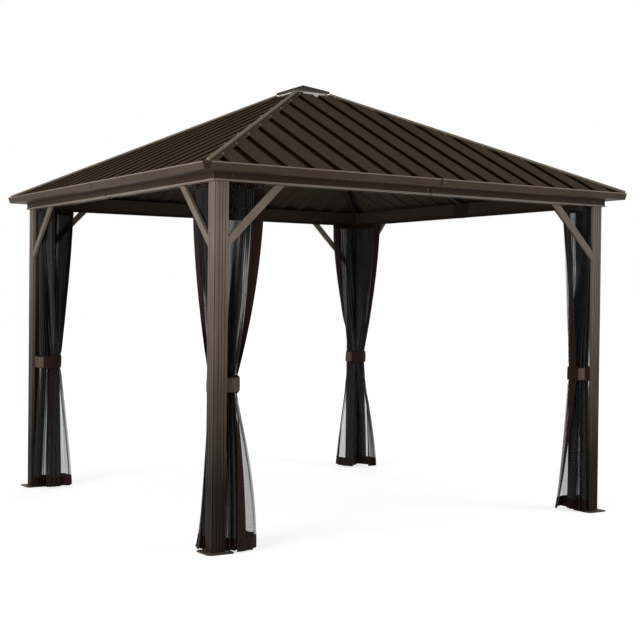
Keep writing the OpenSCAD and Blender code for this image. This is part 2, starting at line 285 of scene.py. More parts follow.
def powder_coat(name, colour, shade_height=0.0, streak=(1, 1, 8), lip_highlight=None):
    """Powder-coated aluminium: a baked polyester film, satin, with a fine orange peel.

    The lip is the lowest and the highest point of an edge painted lighter, a painted highlight
    for the light the edge catches; a part with a lip is also darker along its joints."""
    material, tree, shader = start_material(name, IOR=1.5, Specular_IOR_Level=0.05)
    place = add_node(tree, "TexCoord", output="Object")
    # Long faint streaks where rain has run, and patches of dust a hand or two across
    streaks = lumps(tree, place, 35 * MM, 3, streak)
    patches = lumps(tree, place, 420 * MM)
    coat = tint(tree, streaks, (0.3, 0.7), (0, 1), shade(colour, 0.86), shade(colour, 1.12))
    coat = tint(tree, patches, (0.35, 0.7), (0, 0.5), coat, shade(colour, 0.8))
    if shade_height:
        # Painted shade: the coat darkens towards the ground, where less of the lamps' light falls
        height = add_node(tree, "SeparateXYZ", (place,), "Z")
        coat = tint(tree, height, (0.2 * shade_height, shade_height), (0.93, 0), coat,
                    shade(colours().foot_shade))
    # Painted highlight: a band along the lip is painted lighter for the light the edge catches, and
    # the coat is darker along the joints
    if lip_highlight:
        height = add_node(tree, "SeparateXYZ", (place,), "Z")
        over = add_node(tree, "MapRange", (height, lip_highlight[0] - 1 * MM, lip_highlight[0] + 1 * MM, 0, 1))
        under = add_node(tree, "MapRange", (height, lip_highlight[1] - 1 * MM, lip_highlight[1] + 1 * MM, 1, 0))
        edge = add_node(tree, "Math", (over, under), operation="MULTIPLY")
        for mask, over_it in ((edge, shade(colours().lip_highlight)),
                              (seam_mask(tree, place), shade(colours().groove, 0.5))):
            coat = add_node(tree, "Mix", {0: mask, 6: coat, 7: over_it}, 2, data_type="RGBA")
    # The real orange peel is about 1 mm across; 4 mm is the least that shows
    peel = lumps(tree, place, 4 * MM)
    set_inputs(tree, shader, {
        "Base Color": coat,
        "Roughness": add_node(tree, "MapRange", (patches, 0.3, 0.7, 0.42, 0.58)),
        "Normal": add_node(tree, "Bump", {"Height": peel, "Distance": 0.35 * MM, "Strength": 1.0}),
    })
    return material


def groove_mask(tree, place, axis, reach):
    """1 on the sheet's upper side as far as the reach from the middle of a groove, 0 beyond."""
    along = add_node(tree, "SeparateXYZ", (place,), axis)
    turns = add_node(tree, "Math", (along, GROOVE_PITCH), operation="DIVIDE")
    shifted = add_node(tree, "Math", (turns, 0.5), operation="ADD")
    part = add_node(tree, "Math", (shifted,), operation="FRACT")
    centred = add_node(tree, "Math", (part, 0.5), operation="SUBTRACT")
    away = add_node(tree, "Math", (centred,), operation="ABSOLUTE")
    edge = reach / GROOVE_PITCH
    inside = add_node(tree, "MapRange", (away, edge - 0.006, edge + 0.002, 1, 0))
    facing = add_node(tree, "TexCoord", output="Normal")
    up = add_node(tree, "SeparateXYZ", (facing,), "Z")
    upper = add_node(tree, "MapRange", (up, -0.05, 0.05, 0, 1))
    return add_node(tree, "Math", (inside, upper), operation="MULTIPLY")


def prepainted_steel(name, colour, across=None, beyond=0.0, ridge_highlight=False):
    """Prepainted galvanised steel: rolled sheet, chalked matt by the weather.

    The grooves follow each other along the axis across, and are dark to a little beyond."""
    material, tree, shader = start_material(name, IOR=1.5, Specular_IOR_Level=0.0)
    place = add_node(tree, "TexCoord", output="Object")
    # Streaks run down the slope, a finger wide
    stretch = {"X": (1, 14, 14), "Y": (14, 1, 14), None: (1, 1, 1)}[across]
    streaks = lumps(tree, place, 30 * MM, 3, stretch)
    patches = lumps(tree, place, 500 * MM, 3)
    coat = tint(tree, streaks, (0.3, 0.72), (0, 1), shade(colour, 0.95), shade(colour, 1.14))
    coat = tint(tree, patches, (0.35, 0.7), (0, 0.4), coat, shade(colour, 0.78))
    if across:
        # Painted shade: the walls and rims of the grooves are painted dark, the floors less so, for
        # the shade that falls in them
        walls = groove_mask(tree, place, across, GROOVE_WIDTH / 2 + beyond)
        floors = groove_mask(tree, place, across, GROOVE_WIDTH / 2 - 4 * MM)
        for mask, over_it in ((walls, shade(colours().groove)), (floors, shade(colour, 0.38))):
            coat = add_node(tree, "Mix", {0: mask, 6: coat, 7: over_it}, 2, data_type="RGBA")
    if ridge_highlight:
        # Painted highlight: the bead along a hip is painted lighter, for the light it catches
        off = diagonal_distance(tree, place)[0]
        coat = tint(tree, off, (12 * MM, 18 * MM), (1, 0), coat, shade(colours().lip_highlight))
    # The sheet's own ripple between its folds, a hand across, drawn a millimetre deep to show
    ripple = lumps(tree, place, 90 * MM, 1)
    set_inputs(tree, shader, {
        "Base Color": coat,
        "Roughness": add_node(tree, "MapRange", (patches, 0.3, 0.7, 0.38, 0.55)),
        "Normal": add_node(tree, "Bump", {"Height": ripple, "Distance": 1.2 * MM, "Strength": 1.0}),
    })
    return material


def insect_screen(name, colour):
    """Insect screen: PVC-coated glass fibre, woven in an open square mesh."""
    material, tree, shader = start_material(name, Roughness=0.6)
    place = add_node(tree, "TexCoord", output="Object")
    # The real threads are 1.4 mm apart; 7 mm is the least that shows
    checks = add_node(tree, "TexChecker", {
        "Vector": place, "Scale": 1 / (7 * MM), "Color1": shade(colour),
        "Color2": shade(colour, 0.85)}, None)
    mesh = checks.outputs["Fac"]
    soft = lumps(tree, place, 60 * MM)
    # Painted light: the near-white screen stands in for the light that shows through the vent
    set_inputs(tree, shader, {
        "Base Color": tint(tree, soft, (0.3, 0.7), (0, 0.2), checks.outputs["Color"],
                           shade(colour, 0.6)),
        # Between the threads the screen is open
        "Alpha": add_node(tree, "MapRange", (mesh, 0, 1, 0.75, 1)),
        "Normal": add_node(tree, "Bump", {"Height": mesh, "Distance": 0.3 * MM, "Strength": 1.0}),
    })
    return material


def zinc_plate(name, colour):
    """Zinc-plated steel: bright, a little clouded where the passivation has weathered."""
    material, tree, shader = start_material(name, Metallic=0.4, Specular_IOR_Level=0.2)
    coat, clouds = clouded(tree, colour, 0.75, 1.1, 12 * MM, 3)
    set_inputs(tree, shader, {
        "Base Color": coat,
        "Roughness": add_node(tree, "MapRange", (clouds, 0.3, 0.7, 0.35, 0.6)),
    })
    return material


def threads(tree, pitch, share):
    """Warp and weft: 1 on the threads across each coordinate of the flat cloth, 0 in the holes."""
    cloth = add_node(tree, "UVMap", uv_map="cloth")
    split = add_node(tree, "SeparateXYZ", (cloth,), None)
    ways = []
    for along in ("X", "Y"):
        turns = add_node(tree, "Math", (split.outputs[along], pitch), operation="DIVIDE")
        part = add_node(tree, "Math", (turns,), operation="FRACT")
        ways.append(add_node(tree, "MapRange", (part, share - 0.08, share + 0.08, 1, 0)))
    return ways


def netting_cloth(name, colour):
    """Polyester mosquito netting: matt black threads round open holes, dense in its folds."""
    material, tree, shader = start_material(name, Roughness=0.8, Specular_IOR_Level=0.1)
    # The real holes are 1.5 mm wide; 8 mm is the least that shows
    weave = add_node(tree, "Math", threads(tree, 8 * MM, 0.3), operation="MAXIMUM")
    cover = add_node(tree, "Math", (weave, 0.24), operation="MULTIPLY")
    # The gathered part lies in more layers than the folds drawn, and is closer for it
    layers = add_node(tree, "Attribute", output="Fac", attribute_name="layers")
    cover = add_node(tree, "Math", (cover, layers), operation="ADD", use_clamp=True)
    coat = clouded(tree, colour, 0.6, 1.5, 50 * MM, 2, (1, 1, 6))[0]
    set_inputs(tree, shader, {"Base Color": coat, "Alpha": cover})
    return material


def woven_cloth(name, colour):
    """Woven polyester: a flat, close, matt weave, lighter and darker from yarn to yarn."""
    material, tree, shader = start_material(name, Roughness=0.8, Specular_IOR_Level=0.12)
    # The real yarns are 0.5 mm apart; 5 mm is the least that shows
    weave = add_node(tree, "Math", threads(tree, 5 * MM, 0.5), operation="ADD")
    coat = clouded(tree, colour, 0.6, 1.45, 40 * MM, 3, (1, 1, 4))[0]
    set_inputs(tree, shader, {
        "Base Color": tint(tree, weave, (0, 2), (0, 0.25), coat, shade(colour, 0.5)),
        "Normal": add_node(tree, "Bump", {"Height": weave, "Distance": 0.25 * MM, "Strength": 1.0}),
    })
    return material


def moulded_nylon(name, colour):
    """Moulded nylon: smooth and slightly waxy, with a faint mottle."""
    material, tree, shader = start_material(name, Roughness=0.4)
    set_inputs(tree, shader, {"Base Color": clouded(tree, colour, 0.85, 1.1, 8 * MM)[0]})
    return material


def colours():
    """The colours as the user has set them."""
    return bpy.context.scene.gazebo_colours


def sizes():
    """The sizes as the user has set them."""
    return bpy.context.scene.gazebo_sizes


def finish_for(name):
    """The material of that name, made when it is first asked for."""
    if name in bpy.data.materials:
        return bpy.data.materials[name]
    c = colours()
    lying = (8, 8, 1)
    makers = {
        "powder_coated_aluminium_post": lambda n: powder_coat(n, c.post, 1.75),
        "powder_coated_aluminium_plate": lambda n: powder_coat(n, c.trim),
        "powder_coated_aluminium_beam": lambda n: powder_coat(
            n, c.beam, 0, lying, (CLEAR_HEIGHT - 5 * MM, CLEAR_HEIGHT + 9 * MM)),
        "powder_coated_aluminium_gutter": lambda n: powder_coat(
            n, c.gutter, 0, lying, (GUTTER_TOP - 6 * MM, GUTTER_TOP + 5 * MM)),
        # The painted shade of the grooves reaches 12 mm past their mouths on the left and right
        # sheets, 3 mm on the front and back
        "prepainted_steel_front_back": lambda n: prepainted_steel(n, c.roof, "X", 3 * MM),
        "prepainted_steel_left_right": lambda n: prepainted_steel(n, c.roof, "Y", 12 * MM),
        "prepainted_steel_hip": lambda n: prepainted_steel(n, c.roof, ridge_highlight=True),
        "prepainted_steel_cap": lambda n: prepainted_steel(n, c.trim),
        "painted_steel_rafter": lambda n: powder_coat(n, c.rafter),
        "insect_screen": lambda n: insect_screen(n, c.screen),
        "zinc_plated_steel": lambda n: zinc_plate(n, c.zinc),
        "polyester_netting": lambda n: netting_cloth(n, c.netting),
        "woven_polyester_hem": lambda n: woven_cloth(n, c.hem),
        "woven_polyester_tie_end": lambda n: woven_cloth(n, c.tie_end),
        "moulded_nylon": lambda n: moulded_nylon(n, c.nylon),
    }
    return makers[name](name)


# ---- making meshes


def add_piece(name, mesh, materials):
    """Puts a mesh in the scene as a piece of the gazebo."""
    piece = bpy.data.objects.new(name, mesh)
    bpy.context.scene.collection.objects.link(piece)
    for material in materials:
        mesh.materials.append(finish_for(material))
    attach(piece, BODY)
    return piece


def mesh_from(name, bm, smooth=False):
    """A mesh of what was drawn, its faces turned outward."""
    mesh = bpy.data.meshes.new(name)
    bmesh.ops.recalc_face_normals(bm, faces=bm.faces[:])
    bm.to_mesh(mesh)
    bm.free()
    for polygon in mesh.polygons:
        polygon.use_smooth = smooth
    return mesh


def side_matrix(number):
    """Turns what is drawn on the front round to a side: 0 front, 1 right, 2 back, 3 left."""
    return Matrix.Rotation(math.radians(90 * number), 4, "Z")


def add_screw(bm, place, out, across, washer, thick=2.2 * MM):
    """A hexagon screw head on a domed washer, standing out from a surface."""
    turn = out.to_track_quat("Z", "Y").to_matrix().to_4x4()
    base = Matrix.Translation(place) @ turn
    if washer:
        bmesh.ops.create_cone(
            bm, cap_ends=True, segments=14, radius1=washer / 2, radius2=washer * 0.36,
            depth=thick, matrix=base @ Matrix.Translation((0, 0, thick / 2)))
    head = across * 0.45
    bmesh.ops.create_cone(
        bm, cap_ends=True, segments=6, radius1=across / 2, radius2=across / 2 * 0.92, depth=head,
        matrix=base @ Matrix.Translation((0, 0, thick + head / 2)))


# ---- operators: metalwork

# Finish of each node of the frame, by how its name ends; the longest ending holds
FINISHES = {
    "post": "powder_coated_aluminium_post",
    "braces": "powder_coated_aluminium_post",
    "base_plate": "powder_coated_aluminium_plate",
    "beam": "powder_coated_aluminium_beam",
    "beam_corner": "powder_coated_aluminium_beam",
    "gutter": "powder_coated_aluminium_gutter",
    # Painted shade: the gutter corners take the dark rafter paint, standing in for the shade at the
    # corners
    "gutter_corners": "painted_steel_rafter",
    "hip_rafter": "painted_steel_rafter",
    "mid_rafters": "painted_steel_rafter",
    "roof_hub": "painted_steel_rafter",
    "beam_splices": "painted_steel_rafter",
    "curtain_tracks": "painted_steel_rafter",
    "front_roof": "prepainted_steel_front_back",
    "back_roof": "prepainted_steel_front_back",
    "left_roof": "prepainted_steel_left_right",
    "right_roof": "prepainted_steel_left_right",
    "hip_caps": "prepainted_steel_hip",
    "vent_cap": "prepainted_steel_cap",
    "vent_screen": "insect_screen",
    "curtain": "polyester_netting",
    "curtain_ties": "woven_polyester_hem",
}


class GAZEBO_OT_finish_metal(bpy.types.Operator):
    """Gives every part of the frame the finish of the real one"""

    bl_idname = "gazebo.finish_metal"
    bl_label = "Finish the metalwork"

    def execute(self, context):
        for node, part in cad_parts.items():
            ending = max((e for e in FINISHES if node.endswith(e)), key=len)
            if not part.material_slots:
                part.data.materials.append(None)
            for material_slot in part.material_slots:
                material_slot.material = finish_for(FINISHES[ending])
        return {"FINISHED"}


class GAZEBO_OT_add_roof_screws(bpy.types.Operator):
    """Adds the screws that hold the roof sheets under the hip caps"""

    bl_idname = "gazebo.add_roof_screws"
    bl_label = "Add the roof screws"

    def execute(self, context):
        s = sizes()
        out = Vector((0, -SLOPE, 1)).normalized()
        pans = int(EAVE / GROOVE_PITCH)
        beside_groove = GROOVE_WIDTH / 2 + 12 * MM
        beside_hip = 32 * MM
        cap_thick = 2 * MM
        highest, lowest = CAP_HALF + 50 * MM, EAVE - 80 * MM
        for number, side in enumerate(SIDES):
            bm = bmesh.new()
            for k in range(-pans, pans + 1):
                x = k * GROOVE_PITCH
                x += math.copysign(beside_groove, -x)
                y = -(abs(x) + beside_hip * math.sqrt(2))
                if highest < abs(y) < lowest:
                    add_screw(bm, Vector((x, y, roof_height(x, y) + cap_thick)), out,
                              s.screw_across, s.screw_washer)
            bm.transform(side_matrix(number))
            add_piece(f"{side}_roof_screws", mesh_from(f"{side}_roof_screws", bm),
                      ["zinc_plated_steel"])
        return {"FINISHED"}


class GAZEBO_OT_add_seam_screws(bpy.types.Operator):
    """Adds the screws beside the seams of the gutters and the beams"""

    bl_idname = "gazebo.add_seam_screws"
    bl_label = "Add the seam screws"

    def execute(self, context):
        s = sizes()
        out = Vector((0, -1, 0))
        beside_seam = 22 * MM
        beam_face = LIP_FACE - 5 * MM
        beam_row = CLEAR_HEIGHT + 30 * MM
        gutter_face = GUTTER_EDGE - 7.5 * MM
        gutter_row = (GUTTER_FOOT + GUTTER_TOP) / 2
        lean = Vector((0, -1, -0.36)).normalized()
        for number, side in enumerate(SIDES):
            bm = bmesh.new()
            add_screw(bm, Vector((beside_seam, -gutter_face, gutter_row)), lean,
                      s.screw_across, 0)
            for x in (-beside_seam, beside_seam, -BEAM_HALF + beside_seam,
                      BEAM_HALF - beside_seam):
                add_screw(bm, Vector((x, -beam_face, beam_row)), out,
                          s.screw_across * 0.8, 0, 0.5 * MM)
            bm.transform(side_matrix(number))
            add_piece(f"{side}_seam_screws", mesh_from(f"{side}_seam_screws", bm),
                      ["zinc_plated_steel"])
        return {"FINISHED"}


# ---- operators: curtains

# How one panel of netting lies, in millimetres and degrees. Angles go round the bundle from
# the panel's own beam, with the post at -135 and the middle of the gazebo at 45. A panel's
# heading runs from its first point to its reach. The edge is 1 where the free edge is turned
# over in front at the track, -1 behind, and 0 where it hangs flat. Tuck is the share of the
# radius by which it is tucked in lower down, the core is the middle of the gathered part on
# the ground, and the bell is how fast the loose part opens under the tie.
Lay = collections.namedtuple("Lay", "first reach edge tuck waist_flap core hem_flap hem_r bell")
# How the two panels of a corner are bundled: the middle and the radius at the tie and the
# middle on the ground, both from the outer faces of the post, how full the netting hangs above
# the tie, how close it looks in its core and its loose part, above and below the tie, and the
# two panels
Bundle = collections.namedtuple("Bundle", "name sign waist waist_r hem belly dense panels")
BUNDLES = (
    Bundle("front_left", (-1, -1), (126, 126), 86, (140, 106), 1.9, (0.26, 0.5, 0.68, 0.28),
           (Lay(100, 340, 0, 0, (50, -30), (122, 58), (50, -96), 172, 1.9),
            Lay(100, 362, 0, 0, (40, -62), (122, 66), (40, -89), 166, 0.7))),
    Bundle("front_right", (1, -1), (98, 98), 76, (90, 90), 1.1, (0.55, 0.42, 0.1, 0.14),
           (Lay(30, 285, -1, 0, (60, -30), (90, 90), (95, 25), 160, 0.8),
            Lay(100, 330, -1, 0, (40, -40), (90, 90), (30, -85), 166, 0.8))),
    Bundle("back_right", (1, 1), (98, 164), 78, (75, 215), 1.6, (0.55, 0.5, 0.9, 0.42),
           (Lay(30, 262, -1, 0, (60, -20), (100, 170), (60, -60), 205, 1.2),
            Lay(100, 425, 0, 0, (30, -50), (185, 100), (-30, 10), 166, 1.4))),
    Bundle("back_left", (-1, 1), (118, 115), 88, (122, 122), 1.3, (0.72, 0.28, 0.98, 0.22),
           (Lay(100, 342, -1, 0, (60, -10), (96, 124), (60, -50), 164, 1.2),
            Lay(100, 350, -1, 0.5, (50, -30), (124, 92), (50, -40), 120, 1.0))),
)
# Share of a panel's width that is gathered into the core of the bundle
CORE = 0.7
# Radius of the core's line on the ground, in millimetres
CORE_RADIUS = 58
# Share of the loose part's run that its woven border takes at the track, at the tie and on
# the ground
BORDER_RUN = (0.55, 0.35, 0.14)
# How far a heading stands in from the beam, how much of it lies flat before its loose end, and
# how far the turned edge runs back, in millimetres
HEADING_GAP = 24
FLAT_HEADING = 140
TURNED_EDGE = 52
# Gaps between the netting and the post, between a tie and the netting in it, and the slope at
# which the netting may widen away from the tie
POST_GAP = 5
TIE_GAP = 2
TIE_FLARE = 1.5
# Where the angle of the post is open to the netting on the ground: how deep it may come in,
# and the place from which it may
ANGLE_DEPTH = 30
ANGLE_START = 36
# Depth of the folds: of the gathered part at the track and on the ground, and of the loose
# part at the tie and on the ground
TRACK_FOLD = 24
HEM_FOLD = 30
LOOSE_TIE_FOLD = 13
LOOSE_HEM_FOLD = 8
# Thickness of the ties' woven band
TIE_THICK = 2.5
# Rows and columns of a panel's mesh: hem, below the tie, under it and above it, and then the
# border at the post, the netting and the border at the free edge
ROWS = (5, 26, 5, 32)
COLUMNS = (3, 166, 4)
# Height of the heading tape in metres
TAPE = 25 * MM
# Rings of one panel, and the radius of their wire in metres
RING_COUNT = 12
RING_WIRE = 1.4 * MM


def mix(first, second, share):
    """A number that share of the way from the first to the second."""
    return first + (second - first) * share


def within(value):
    """A value held between 0 and 1."""
    return min(1, max(0, value))


def polar(middle, radius, degrees):
    """A point at an angle round a middle."""
    angle = math.radians(degrees)
    return (middle[0] + radius * math.cos(angle), middle[1] + radius * math.sin(angle))


def clear_of_post(a, b, gap):
    """Moves a point out of the legs of the post, to a gap from their nearest face."""
    leg, wall = POST_LEG / MM + gap, POST_WALL / MM + gap
    if a < wall and b < wall:
        return wall, wall
    if a < leg and b < wall:
        return (leg, b) if leg - a < wall - b else (a, wall)
    if b < leg and a < wall:
        return (a, leg) if leg - b < wall - a else (wall, b)
    return a, b


class NettingPanel:
    """One panel of netting, drawn along its beam: a along the beam, b in from the opening."""

    def __init__(self, bundle, lay, swapped, seed):
        self.bundle = bundle
        self.lay = lay
        self.swapped = swapped
        dice = random.Random(seed)
        self.shifts = [dice.uniform(0, 2 * math.pi) for _ in range(5)]
        turn = (lambda p: (p[1], p[0])) if swapped else (lambda p: p)
        self.waist = turn(bundle.waist)
        self.hem = turn(bundle.hem)

    def loose_part(self, u, border_run):
        """How far along the loose part of the panel a point lies, its border kept flat."""
        part = (u - CORE) / (1 - CORE)
        border = 1 - sizes().border_width / sizes().panel_width / (1 - CORE)
        if part < border:
            return (1 - border_run) * part / border
        return 1 - border_run * (1 - part) / (1 - border)

    def tucked_in(self, part, border_run):
        """Share of its radius left to a border that is tucked in behind the netting."""
        return 1 - self.lay.tuck * min(1, 2 * max(0, part - 1 + border_run) / border_run)

    def top_line(self, u):
        """The line of the heading under the track."""
        first = self.lay.first
        behind = (POST_FACE - BEAM_INNER) / MM + HEADING_GAP
        turn_back = self.lay.reach - FLAT_HEADING
        if u < CORE:
            return (mix(first, turn_back, u / CORE), behind)
        part = self.loose_part(u, BORDER_RUN[0])
        border = 1 - BORDER_RUN[0]
        if not self.lay.edge:
            return (mix(turn_back, self.lay.reach, part), behind - 8 * part)
        if part < border:
            return (mix(turn_back, self.lay.reach, part / border), behind)
        turned = (part - border) / BORDER_RUN[0]
        return (self.lay.reach - TURNED_EDGE * turned,
                behind - HEADING_GAP * self.lay.edge * min(1, 4 * turned))

    def waist_line(self, u):
        """The line round the bundle under the tie."""
        start, end = self.lay.waist_flap
        full = self.bundle.waist_r
        if u < CORE:
            return polar(self.waist, 0.5 * full, mix(-135, start, u / CORE))
        part = self.loose_part(u, BORDER_RUN[1])
        radius = mix(0.5, 0.95, min(1, part * 5)) * full * self.tucked_in(part, BORDER_RUN[1])
        return polar(self.waist, radius, mix(start, end, part))

    def hem_line(self, u):
        """The line of the hem on the ground, clear of the post's leg."""
        start, end = self.lay.hem_flap
        leg_end = POST_LEG / MM + POST_GAP
        core_middle = self.lay.core
        if u < CORE:
            part = u / CORE
            point = polar(core_middle, CORE_RADIUS, mix(-145, start, part))
        else:
            part = self.loose_part(u, BORDER_RUN[2])
            opening = min(1, part * 4)
            radius = mix(CORE_RADIUS, self.lay.hem_r, opening * opening * (3 - 2 * opening))
            radius *= self.tucked_in(part, BORDER_RUN[2])
            middle = [mix(c, h, opening) for c, h in zip(core_middle, self.hem)]
            point = polar(middle, radius, mix(start, end, part))
        # Clear of the leg beside it, free to come into the angle of the post
        clear = mix(leg_end, ANGLE_DEPTH, within((point[1] - ANGLE_START) / 12))
        return (max(point[0], clear), point[1])

    def line(self, u, z):
        """The panel's line at a height, before it is folded."""
        if z >= TIE_TOP:
            up = (z - TIE_TOP) / (HEADING_TOP - TIE_TOP)
            share = 1 - (1 - up) ** self.bundle.belly
            ends = (self.waist_line(u), self.top_line(u))
        elif z <= TIE_FOOT:
            down = (TIE_FOOT - z) / (TIE_FOOT - CURTAIN_FOOT)
            share = 1 - (1 - down) ** self.lay.bell
            ends = (self.waist_line(u), self.hem_line(u))
        else:
            share, ends = 0, (self.waist_line(u),) * 2
        return [mix(ends[0][k], ends[1][k], share) for k in (0, 1)]

    def fold(self, u, z):
        """How far the cloth stands off its line, and how far it leans along it."""
        s = sizes()
        up = within((z - TIE_TOP) / (HEADING_TOP - TIE_TOP))
        down = within((TIE_FOOT - z) / (TIE_FOOT - CURTAIN_FOOT))
        wander = 0.35 * math.sin(2.1 * z + self.shifts[0] + 5 * u)
        if u < CORE:
            part = u / CORE
            turns = s.core_folds * part + 0.25 * math.sin(5 * part + self.shifts[1])
            turns += 0.12 * math.sin(13 * part + self.shifts[2])
            deep = mix(mix(0.4 * self.bundle.waist_r, TRACK_FOLD, up), HEM_FOLD, down)
            uneven = 1 + 0.25 * math.sin(7 * part + self.shifts[3] + 1.3 * z)
            # The edge at the post is held flat
            slack = min(1.0, 0.3 + 4 * part)
        else:
            part = (u - CORE) / (1 - CORE)
            border = 1 - s.border_width / s.panel_width / (1 - CORE)
            turns = s.core_folds + s.flap_folds * min(1, part / border)
            deep = mix(mix(LOOSE_TIE_FOLD, TRACK_FOLD, up), LOOSE_HEM_FOLD, down)
            uneven = 1 + 0.3 * math.sin(4 * part + self.shifts[4] + 1.7 * z)
            # The woven border is stiffer than the netting
            slack = 1.0 - 0.8 * max(0.0, part - border) / (1 - border)
        swing = math.sin(2 * math.pi * turns + wander)
        lean = math.sin(4 * math.pi * turns + 2 * wander)
        return deep * uneven * slack * swing, 0.12 * deep * slack * lean

    def layers(self, u, z):
        """How much closer the netting looks for the layers that lie on each other."""
        core_up, core_down, loose_up, loose_down = self.bundle.dense
        up = within((z - TIE_FOOT) / (TIE_TOP + 0.1 - TIE_FOOT))
        core = within((CORE + 0.02 - u) / 0.06)
        return mix(mix(loose_down, loose_up, up), mix(core_down, core_up, up), core)

    def held_by_tie(self, a, b, z):
        """Keeps a point inside the tie, and less so further above or below it."""
        away = max(0, z - TIE_TOP, TIE_FOOT - z) / MM
        limit = self.bundle.waist_r - TIE_GAP + TIE_FLARE * away
        off = (a - self.waist[0], b - self.waist[1])
        share = min(1, limit / (math.hypot(*off) or 1.0))
        return self.waist[0] + off[0] * share, self.waist[1] + off[1] * share

    def place(self, u, z):
        """A point of the folded cloth, in the frame."""
        step = 0.004
        before, after = self.line(max(0, u - step), z), self.line(min(1, u + step), z)
        middle = self.line(u, z)
        run = (after[0] - before[0], after[1] - before[1])
        length = math.hypot(*run) or 1.0
        along = (run[0] / length, run[1] / length)
        off, lean = self.fold(u, z)
        a = middle[0] - along[1] * off + along[0] * lean
        b = middle[1] + along[0] * off + along[1] * lean
        a, b = clear_of_post(*self.held_by_tie(a, b, z), POST_GAP)
        if z > BRACE_FOOT:
            # Inside the brace along its own beam
            b = max(b, POST_WALL / MM + 2)
        if self.swapped:
            a, b = b, a
        sx, sy = self.bundle.sign
        return Vector((sx * (POST_FACE - a * MM), sy * (POST_FACE - b * MM), z))


def steps(ends, counts):
    """Places between each two ends, in as many even steps as the counts say."""
    return [mix(first, last, k / count)
            for first, last, count in zip(ends, ends[1:], counts) for k in range(count)]


def panel_mesh(name, panel):
    """Netting with a woven hem, a woven border on its free edge and a heading tape."""
    s = sizes()
    width = s.panel_width
    tape_foot = HEADING_TOP - TAPE
    rows = steps((CURTAIN_FOOT, CURTAIN_FOOT + s.hem_height, TIE_FOOT, TIE_TOP, tape_foot), ROWS)
    rows += [tape_foot, HEADING_TOP]
    border = 1 - s.border_width / width
    post_border = (1 - border) * 0.6
    columns = steps((0, post_border, border, 1), COLUMNS) + [1.0]
    bm = bmesh.new()
    cloth = bm.loops.layers.uv.new("cloth")
    layers = bm.verts.layers.float.new("layers")
    grid = [[bm.verts.new(panel.place(u, z)) for u in columns] for z in rows]
    for z, line in zip(rows, grid):
        for u, point in zip(columns, line):
            point[layers] = panel.layers(u, z)
    for r in range(len(rows) - 1):
        for c in range(len(columns) - 1):
            ends = ((r, c), (r, c + 1), (r + 1, c + 1), (r + 1, c))
            face = bm.faces.new([grid[i][j] for i, j in ends])
            for loop, (i, j) in zip(face.loops, ends):
                loop[cloth].uv = (columns[j] * width, rows[i])
            side_border = columns[c] < post_border or columns[c] >= border
            woven = side_border or r < ROWS[0] or r == len(rows) - 2
            face.material_index = 1 if woven else 0
            face.smooth = True
    mesh = bpy.data.meshes.new(name)
    bm.to_mesh(mesh)
    bm.free()
    return mesh


class GAZEBO_OT_hang_curtains(bpy.types.Operator):
    """Hangs two panels of netting in each corner, gathered and tied back"""

    bl_idname = "gazebo.hang_curtains"
    bl_label = "Hang the curtains"

    def execute(self, context):
        for number, bundle in enumerate(BUNDLES):
            side_names = bundle.name.split("_")
            for swapped in (False, True):
                lay = bundle.panels[swapped]
                panel = NettingPanel(bundle, lay, swapped, 20 + 2 * number + swapped)
                name = f"{bundle.name}_netting_{side_names[swapped]}"
                piece = add_piece(name, panel_mesh(name, panel),
                                  ["polyester_netting", "woven_polyester_hem"])
                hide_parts(f"{bundle.name}_curtain")
        return {"FINISHED"}


def strap_mesh(name, bundle, radius, angles, foot, top, seed):
    """A band of cloth round a bundle from one angle to another, closed if they are a turn apart."""
    start, end = angles
    middle, sign = bundle.waist, bundle.sign
    dice = random.Random(seed)
    shifts = [dice.uniform(0, 2 * math.pi) for _ in range(3)]
    closed = abs(end - start) >= 360
    turns = 96 if closed else 24
    rows = 8
    bm = bmesh.new()
    cloth = bm.loops.layers.uv.new("cloth")

    def point(c, r, out):
        angle = math.radians(mix(start, end, c / turns))
        z = mix(foot, top, r / rows)
        bulge = 1.6 * math.sin(math.pi * r / rows)
        crease = 1.3 * math.sin(9 * angle + shifts[0])
        crease += 0.8 * math.sin(17 * angle + shifts[1] + 30 * z)
        reach = radius + out + bulge + crease
        sag = 3 * MM * math.sin(2 * angle + shifts[2])
        # The band is pressed flat where it lies against the post
        a, b = clear_of_post(middle[0] + reach * math.cos(angle),
                             middle[1] + reach * math.sin(angle), 1.5 + TIE_THICK - out)
        return Vector((sign[0] * (POST_FACE - a * MM), sign[1] * (POST_FACE - b * MM), z + sag))

    count = turns if closed else turns + 1
    shells = [[[bm.verts.new(point(c, r, out)) for c in range(count)] for r in range(rows + 1)]
              for out in (0, TIE_THICK)]

    def add_face(corners, spots):
        face = bm.faces.new(corners)
        face.smooth = True
        for loop, (c, r) in zip(face.loops, spots):
            loop[cloth].uv = (c / turns * math.radians(abs(end - start)) * radius * MM,
                              r / rows * (top - foot))

    for c in range(turns):
        n = (c + 1) % count
        for r in range(rows):
            for shell in shells:
                add_face([shell[r][c], shell[r][n], shell[r + 1][n], shell[r + 1][c]],
                         [(c, r), (c + 1, r), (c + 1, r + 1), (c, r + 1)])
        for r in (0, rows):
            add_face([shells[0][r][c], shells[0][r][n], shells[1][r][n], shells[1][r][c]],
                     [(c, r), (c + 1, r), (c + 1, r), (c, r)])
    if not closed:
        for c in (0, turns):
            for r in range(rows):
                add_face([shells[0][r][c], shells[0][r + 1][c], shells[1][r + 1][c],
                          shells[1][r][c]], [(c, r), (c, r + 1), (c, r + 1), (c, r)])
    return mesh_from(name, bm, True)


